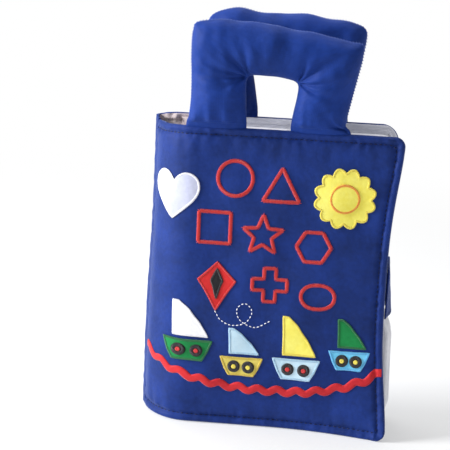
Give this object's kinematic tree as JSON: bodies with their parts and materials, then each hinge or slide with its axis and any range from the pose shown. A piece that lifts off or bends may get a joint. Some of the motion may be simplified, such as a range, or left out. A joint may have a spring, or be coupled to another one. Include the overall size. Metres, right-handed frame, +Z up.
{
  "type": "cloth activity book",
  "caption": "Stuffed blue cloth activity book with padded covers, fanned cloth leaves, stuffed carrying handles and a fore-edge closing strap.",
  "frame": {"origin": "middle of the bounding box on the surface that the closed book stands on", "axes": "+X from the spine to the fore-edge, +Y from the front cover to the back cover, +Z up to the handles"},
  "size_m": [0.2198, 0.0796, 0.3643],
  "materials": {
    "cover_cotton": "woven cotton blend over wadding, slight sheen",
    "handle_cotton": "woven cotton blend over stuffing, slight sheen",
    "page_cotton": "white woven cotton over thin wadding",
    "yellow_cotton": "woven cotton, satin stitched edge",
    "lilac_cotton": "woven cotton, white satin stitched edge",
    "white_cotton": "woven cotton",
    "pale_blue_cotton": "woven cotton with small white dots",
    "sky_cotton": "woven cotton, satin stitched edge",
    "sand_cotton": "woven cotton, satin stitched edge",
    "green_cotton": "woven cotton, satin stitched edge",
    "red_cotton": "woven cotton, satin stitched edge",
    "red_braid": "waved woven braid",
    "black_cotton": "satin stitched thread",
    "hook_and_loop": "hook and loop tape",
    "red_plastic": "moulded",
    "green_plastic": "moulded",
    "zip_metal": "plated, satin",
    "red_bead": "moulded",
    "yellow_bead": "moulded",
    "green_bead": "moulded"
  },
  "bodies": {
    "root": {"back_cover": "cover_cotton", "back_lining": "page_cotton", "spine_fold": "cover_cotton", "leaf_welt": "page_cotton", "loop_patch": "hook_and_loop"},
    "front_cover": {"front_cover": "cover_cotton", "front_lining": "page_cotton", "strap_anchor": "cover_cotton", "flower": "yellow_cotton", "flower_middle": "yellow_cotton", "heart": "lilac_cotton", "kite": "red_cotton", "kite_middle": "black_cotton", "rickrack_braid": "red_braid", "hull_green": "green_cotton", "sail_green": "white_cotton", "porthole_green_a": "black_cotton", "porthole_green_b": "black_cotton", "hull_sand": "sand_cotton", "sail_sand": "pale_blue_cotton", "porthole_sand_a": "black_cotton", "porthole_sand_b": "black_cotton", "hull_pale": "pale_blue_cotton", "sail_pale": "yellow_cotton", "porthole_pale_a": "black_cotton", "porthole_pale_b": "black_cotton", "hull_sky": "sky_cotton", "sail_sky": "green_cotton", "porthole_sky_a": "black_cotton", "porthole_sky_b": "black_cotton"},
    "leaf_1": {"leaf_1": "page_cotton", "clock_dial": "yellow_cotton", "clock_stud": "zip_metal"},
    "hour_hand": {"hour_hand": "red_plastic"},
    "minute_hand": {"minute_hand": "green_plastic"},
    "leaf_2": {"leaf_2": "page_cotton", "zip_pocket": "green_cotton", "zip_tape": "red_braid"},
    "zip_slider": {"zip_slider": "zip_metal", "zip_post": "zip_metal"},
    "zip_pull": {"zip_pull": "zip_metal"},
    "leaf_3": {"leaf_3": "page_cotton", "bead_band_spine": "sky_cotton", "bead_band_edge": "sky_cotton", "bead_cord_1": "white_cotton", "bead_cord_2": "white_cotton", "bead_cord_3": "white_cotton"},
    "bead_1": {"bead_1": "red_bead"},
    "bead_2": {"bead_2": "yellow_bead"},
    "bead_3": {"bead_3": "green_bead"},
    "leaf_4": {"leaf_4": "page_cotton", "match_square": "red_cotton", "match_circle": "sky_cotton", "match_triangle": "sand_cotton"},
    "front_handle": {"front_handle": "handle_cotton"},
    "back_handle": {"back_handle": "handle_cotton"},
    "closure_strap": {"closure_strap": "cover_cotton", "hook_patch": "hook_and_loop"}
  },
  "joints": [
    {"name": "cover_hinge", "type": "hinge", "parent": "root", "child": "front_cover", "pos_m": [-0.1059, 0.0161, 0.1335], "axis": [0, 0, 1], "range_deg": [-150, 0]},
    {"name": "leaf_1_hinge", "type": "hinge", "parent": "root", "child": "leaf_1", "pos_m": [-0.0951, 0.01333, 0.1335], "axis": [0, 0, 1], "range_deg": [-120, 0]},
    {"name": "leaf_2_hinge", "type": "hinge", "parent": "root", "child": "leaf_2", "pos_m": [-0.0951, 0.01333, 0.1335], "axis": [0, 0, 1], "range_deg": [-93, 0]},
    {"name": "leaf_3_hinge", "type": "hinge", "parent": "root", "child": "leaf_3", "pos_m": [-0.0951, 0.01333, 0.1335], "axis": [0, 0, 1], "range_deg": [-63, 0]},
    {"name": "leaf_4_hinge", "type": "hinge", "parent": "root", "child": "leaf_4", "pos_m": [-0.0951, 0.01333, 0.1335], "axis": [0, 0, 1], "range_deg": [-30, 0]},
    {"name": "front_handle_flop", "type": "hinge", "parent": "front_cover", "child": "front_handle", "pos_m": [-0.0111, -0.02167, 0.26885], "axis": [1, 0, 0], "range_deg": [-6, 85]},
    {"name": "back_handle_flop", "type": "hinge", "parent": "root", "child": "back_handle", "pos_m": [-0.0031, 0.02633, 0.26885], "axis": [1, 0, 0], "range_deg": [-85, 6]},
    {"name": "strap_swing", "type": "hinge", "parent": "front_cover", "child": "closure_strap", "pos_m": [0.1032, -0.01637, 0.1275], "axis": [0, 0, 1], "range_deg": [-100, 0]},
    {"name": "hour_turn", "type": "hinge", "parent": "leaf_1", "child": "hour_hand", "pos_m": [0.00961, -0.01267, 0.138], "axis": [0, 1, 0], "continuous": true},
    {"name": "minute_turn", "type": "hinge", "parent": "leaf_1", "child": "minute_hand", "pos_m": [0.00961, -0.01367, 0.138], "axis": [0, 1, 0], "continuous": true},
    {"name": "zip_slide", "type": "slide", "parent": "leaf_2", "child": "zip_slider", "axis": [1, 0, 0], "range_m": [0, 0.108]},
    {"name": "zip_pull_turn", "type": "hinge", "parent": "zip_slider", "child": "zip_pull", "pos_m": [-0.04539, -0.00567, 0.158], "axis": [0, 1, 0], "range_deg": [-85, 85]},
    {"name": "bead_1_slide", "type": "slide", "parent": "leaf_3", "child": "bead_1", "axis": [1, 0, 0], "range_m": [0, 0.122]},
    {"name": "bead_2_slide", "type": "slide", "parent": "leaf_3", "child": "bead_2", "axis": [1, 0, 0], "range_m": [0, 0.122]},
    {"name": "bead_3_slide", "type": "slide", "parent": "leaf_3", "child": "bead_3", "axis": [1, 0, 0], "range_m": [0, 0.122]}
  ],
  "couplings": [
    {"joint": "leaf_1_hinge", "follows": "cover_hinge", "ratio": 0.8},
    {"joint": "leaf_2_hinge", "follows": "cover_hinge", "ratio": 0.62},
    {"joint": "leaf_3_hinge", "follows": "cover_hinge", "ratio": 0.42},
    {"joint": "leaf_4_hinge", "follows": "cover_hinge", "ratio": 0.2}
  ]
}
